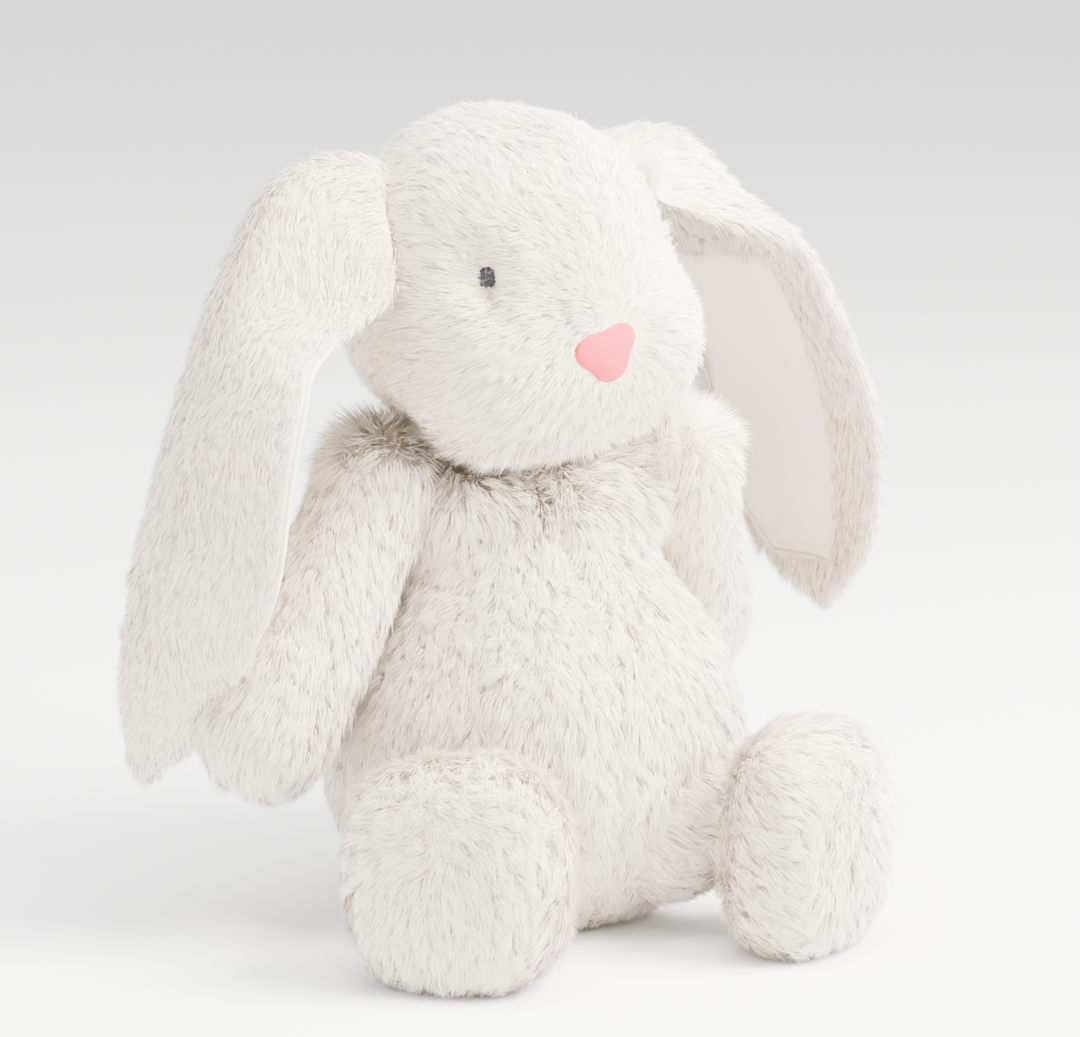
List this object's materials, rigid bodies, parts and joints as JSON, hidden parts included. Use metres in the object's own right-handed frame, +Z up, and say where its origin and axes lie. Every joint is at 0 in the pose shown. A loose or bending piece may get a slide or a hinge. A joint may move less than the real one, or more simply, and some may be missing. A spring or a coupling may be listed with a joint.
{
  "type": "stuffed rabbit toy",
  "caption": "Seated plush rabbit with long hanging ears, fur fabric panels sewn over loose stuffing, and soft limbs, neck, ears and tail that can be posed.",
  "frame": {"origin": "centre of the flat seat panel that the rabbit sits on", "axes": "+Z up, the rabbit's body faces -Y, +X is the rabbit's left"},
  "size_m": [0.3092, 0.223, 0.2798],
  "materials": {
    "plush_fur": "long soft white pile with a faint warm tint",
    "ear_velour": "short smooth velour",
    "nose_velour": "pink short pile velour",
    "eye_thread": "black embroidery thread with a soft sheen",
    "sewing_thread": "off-white spun thread",
    "polyester_filling": "loose white fibre",
    "pellet_cloth": "thin woven bag full of plastic pellets"
  },
  "bodies": {
    "torso": {"belly_left": "plush_fur", "belly_right": "plush_fur", "back_left": "plush_fur", "back_right": "plush_fur", "seat_panel": "plush_fur", "body_stuffing": "polyester_filling", "pellet_bag": "pellet_cloth", "closing_stitches": "sewing_thread"},
    "neck": {"neck_gather": "sewing_thread"},
    "head": {"head_side_left": "plush_fur", "head_side_right": "plush_fur", "head_gusset": "plush_fur", "chin_panel": "plush_fur", "head_stuffing": "polyester_filling", "eye_left": "eye_thread", "eye_right": "eye_thread", "eye_pull_thread": "sewing_thread", "nose_patch": "nose_velour"},
    "ear_left": {"ear_back_left": "plush_fur", "ear_lining_left": "ear_velour"},
    "ear_right": {"ear_back_right": "plush_fur", "ear_lining_right": "ear_velour"},
    "arm_left": {"arm_front_left": "plush_fur", "arm_back_left": "plush_fur", "arm_stuffing_left": "polyester_filling"},
    "arm_right": {"arm_front_right": "plush_fur", "arm_back_right": "plush_fur", "arm_stuffing_right": "polyester_filling"},
    "leg_left": {"leg_top_left": "plush_fur", "leg_under_left": "plush_fur", "foot_sole_left": "plush_fur", "leg_stuffing_left": "polyester_filling"},
    "leg_right": {"leg_top_right": "plush_fur", "leg_under_right": "plush_fur", "foot_sole_right": "plush_fur", "leg_stuffing_right": "polyester_filling"},
    "tail": {"tail_cover": "plush_fur", "tail_stuffing": "polyester_filling"}
  },
  "joints": [
    {"name": "neck_turn", "type": "hinge", "parent": "torso", "child": "neck", "pos_m": [0, 0.018, 0.158], "axis": [0, 0, 1], "range_deg": [-35, 20]},
    {"name": "neck_nod", "type": "hinge", "parent": "neck", "child": "head", "pos_m": [0, 0.018, 0.158], "axis": [0.9659, 0.2588, 0], "range_deg": [-12, 18]},
    {"name": "ear_left_lift", "type": "hinge", "parent": "head", "child": "ear_left", "pos_m": [0.03925, 0.03162, 0.27175], "axis": [0.2588, -0.9659, 0], "range_deg": [0, 75]},
    {"name": "ear_right_lift", "type": "hinge", "parent": "head", "child": "ear_right", "pos_m": [-0.05571, 0.00618, 0.26488], "axis": [-0.2588, 0.9659, 0], "range_deg": [0, 75]},
    {"name": "arm_left_swing", "type": "hinge", "parent": "torso", "child": "arm_left", "pos_m": [0.057, 0.011, 0.1515], "axis": [-0.8484, -0.155, -0.5062], "range_deg": [-4, 108]},
    {"name": "arm_right_swing", "type": "hinge", "parent": "torso", "child": "arm_right", "pos_m": [-0.057, 0.011, 0.1515], "axis": [-0.8484, 0.155, 0.5062], "range_deg": [-48, 54]},
    {"name": "leg_left_raise", "type": "hinge", "parent": "torso", "child": "leg_left", "pos_m": [0.03201, -0.04098, 0.038], "axis": [-0.788, -0.6157, 0], "range_deg": [-50, 7]},
    {"name": "leg_right_raise", "type": "hinge", "parent": "torso", "child": "leg_right", "pos_m": [-0.03201, -0.04098, 0.038], "axis": [-0.788, 0.6157, 0], "range_deg": [-50, 7]},
    {"name": "tail_wag", "type": "hinge", "parent": "torso", "child": "tail", "pos_m": [0, 0.08, 0.038], "axis": [0, 0, 1], "range_deg": [-14, 14], "stiffness_Nm_per_rad": 0.004}
  ]
}
